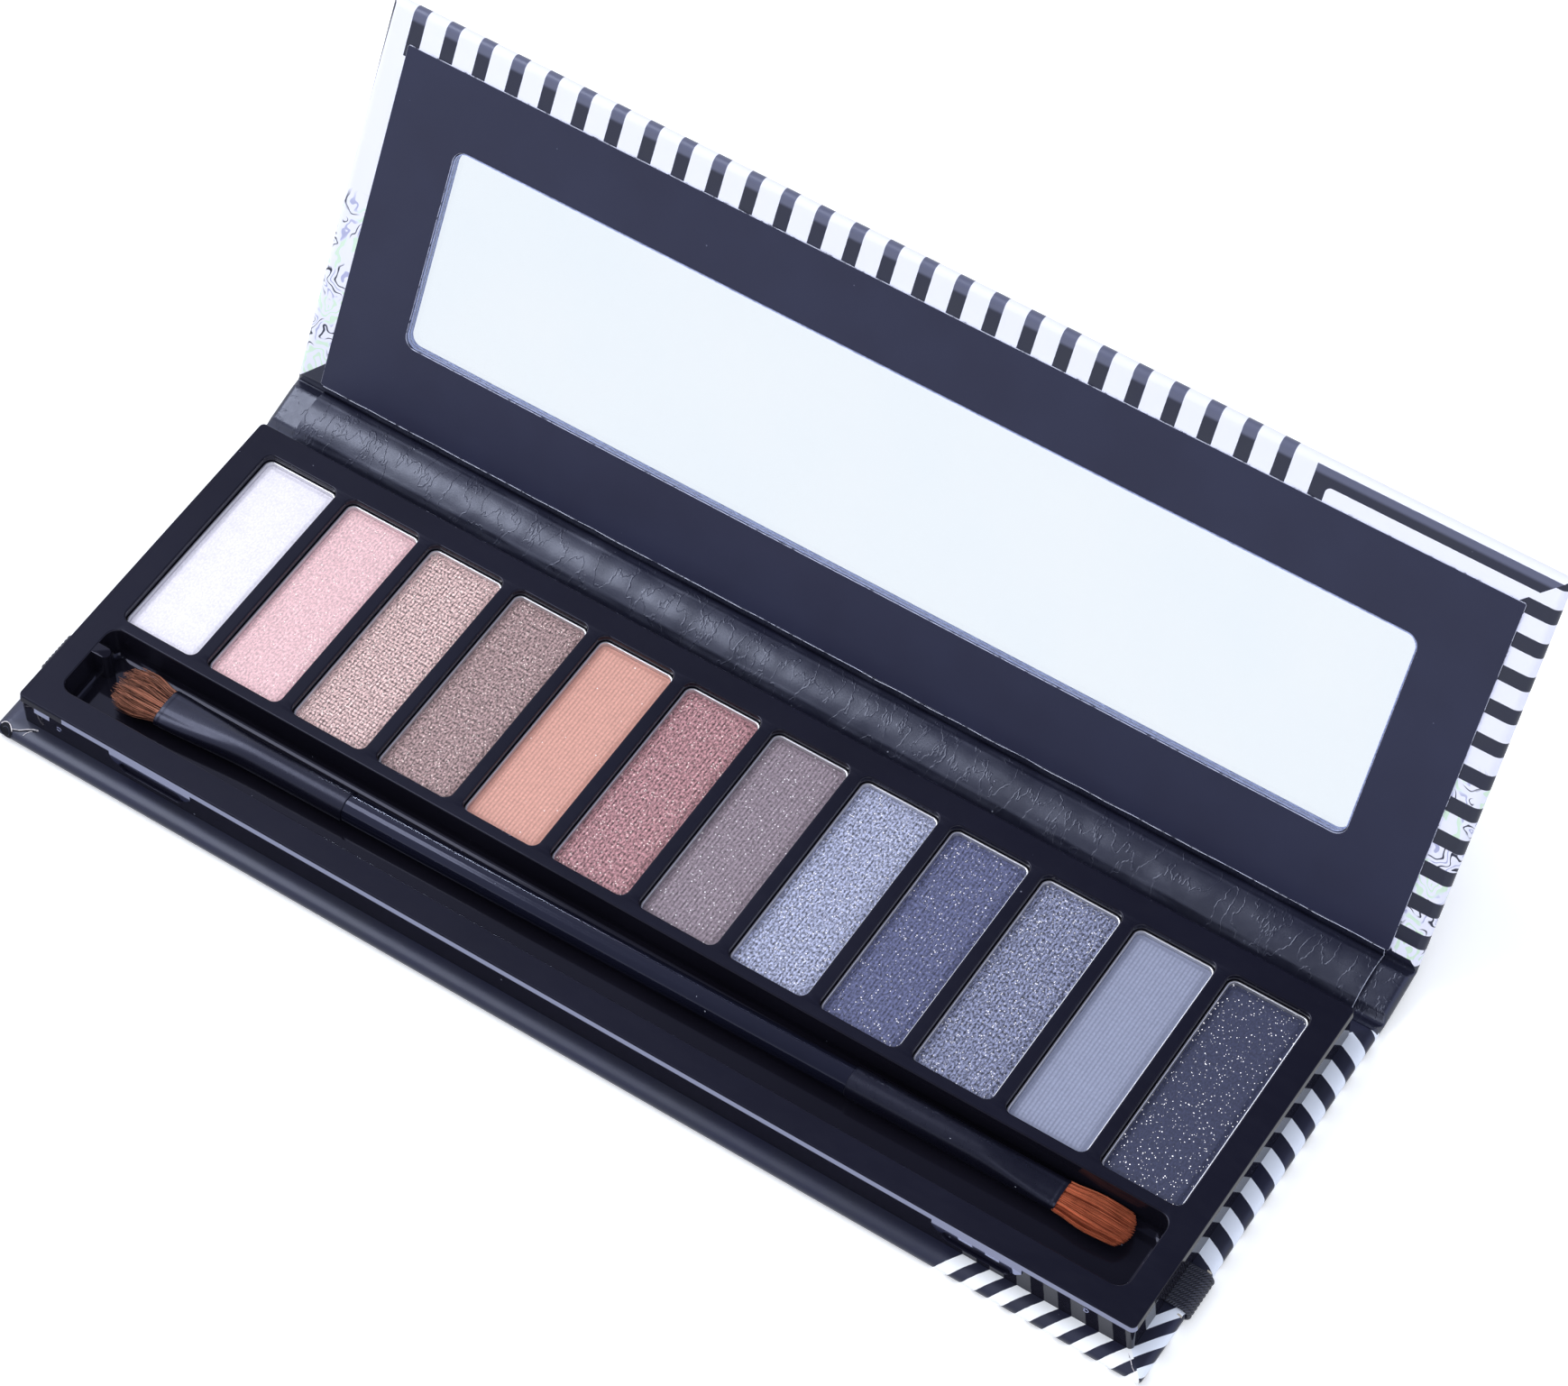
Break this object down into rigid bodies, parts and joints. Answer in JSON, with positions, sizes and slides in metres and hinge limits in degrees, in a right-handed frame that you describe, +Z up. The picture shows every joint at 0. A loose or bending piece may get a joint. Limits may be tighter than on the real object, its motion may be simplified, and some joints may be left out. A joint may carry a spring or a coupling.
{
  "type": "eyeshadow palette",
  "caption": "Book-style eyeshadow palette with a hinged mirror lid, a moulded tray of pressed-powder pans, a brush trough with a two-ended brush and an elastic band.",
  "frame": {"origin": "bottom centre of the whole object with its lid open as modelled, on the surface that it rests on", "axes": "+X along the long side, from the broad brush tuft towards the flat one, +Y from the brush trough towards the hinge and lid, +Z up"},
  "size_m": [0.1974, 0.1088, 0.0608],
  "materials": {
    "greyboard": "uncoated",
    "base_print": "gloss laminated, printed with stripes",
    "lid_print": "gloss laminated, printed with stripes and line work",
    "spine_print": "gloss laminated",
    "hinge_liner": "gloss laminated",
    "lid_liner": "satin",
    "adhesive": "tacky",
    "tray_plastic": "fine satin top, glossy walls",
    "pan_tin": "tin-plated",
    "elastic": "ribbed",
    "mirror": "silvered glass with ground edges",
    "handle_lacquer": "high gloss",
    "ferrule": "black, satin",
    "natural_bristle": "soft natural hair",
    "synthetic_bristle": "fine synthetic hair",
    "shadow_01": "pressed powder, pearl",
    "shadow_02": "pressed powder, satin",
    "shadow_03": "pressed powder, metallic",
    "shadow_04": "pressed powder, satin",
    "shadow_05": "pressed powder, matte",
    "shadow_06": "pressed powder, satin",
    "shadow_07": "pressed powder, satin",
    "shadow_08": "pressed powder, pearl",
    "shadow_09": "pressed powder, satin with glints",
    "shadow_10": "pressed powder, glitter",
    "shadow_11": "pressed powder, satin, finely ribbed",
    "shadow_12": "pressed powder, glitter"
  },
  "bodies": {
    "base": {"base_board": "greyboard", "base_wrap": "base_print", "base_liner": "hinge_liner", "tray_tape": "adhesive", "tray_base": "tray_plastic", "tray_top": "tray_plastic", "pan_glue": "adhesive", "pan_01": "pan_tin", "pan_02": "pan_tin", "pan_03": "pan_tin", "pan_04": "pan_tin", "pan_05": "pan_tin", "pan_06": "pan_tin", "pan_07": "pan_tin", "pan_08": "pan_tin", "pan_09": "pan_tin", "pan_10": "pan_tin", "pan_11": "pan_tin", "pan_12": "pan_tin", "shadow_01": "shadow_01", "shadow_02": "shadow_02", "shadow_03": "shadow_03", "shadow_04": "shadow_04", "shadow_05": "shadow_05", "shadow_06": "shadow_06", "shadow_07": "shadow_07", "shadow_08": "shadow_08", "shadow_09": "shadow_09", "shadow_10": "shadow_10", "shadow_11": "shadow_11", "shadow_12": "shadow_12", "elastic_band": "elastic"},
    "spine": {"spine_board": "greyboard", "spine_wrap": "spine_print", "spine_liner": "hinge_liner"},
    "lid": {"lid_back_ply": "greyboard", "lid_window_ply": "greyboard", "lid_wrap": "lid_print", "lid_liner": "lid_liner", "mirror_tape": "adhesive", "mirror_glass": "mirror"},
    "brush": {"brush_handle": "handle_lacquer", "brush_ferrule_left": "ferrule", "brush_ferrule_right": "ferrule", "brush_tuft_left": "natural_bristle", "brush_tuft_right": "synthetic_bristle"}
  },
  "joints": [
    {"name": "spine_hinge", "type": "hinge", "parent": "base", "child": "spine", "pos_m": [0, 0.01256, 0.0012], "axis": [1, 0, 0], "range_deg": [-15, 75]},
    {"name": "lid_hinge", "type": "hinge", "parent": "spine", "child": "lid", "pos_m": [0, 0.0215, 0.00359], "axis": [1, 0, 0], "range_deg": [-45.5, 44.5]},
    {"name": "brush_lift", "type": "slide", "parent": "base", "child": "brush", "axis": [0, 0, 1], "range_m": [0, 0.065]}
  ]
}
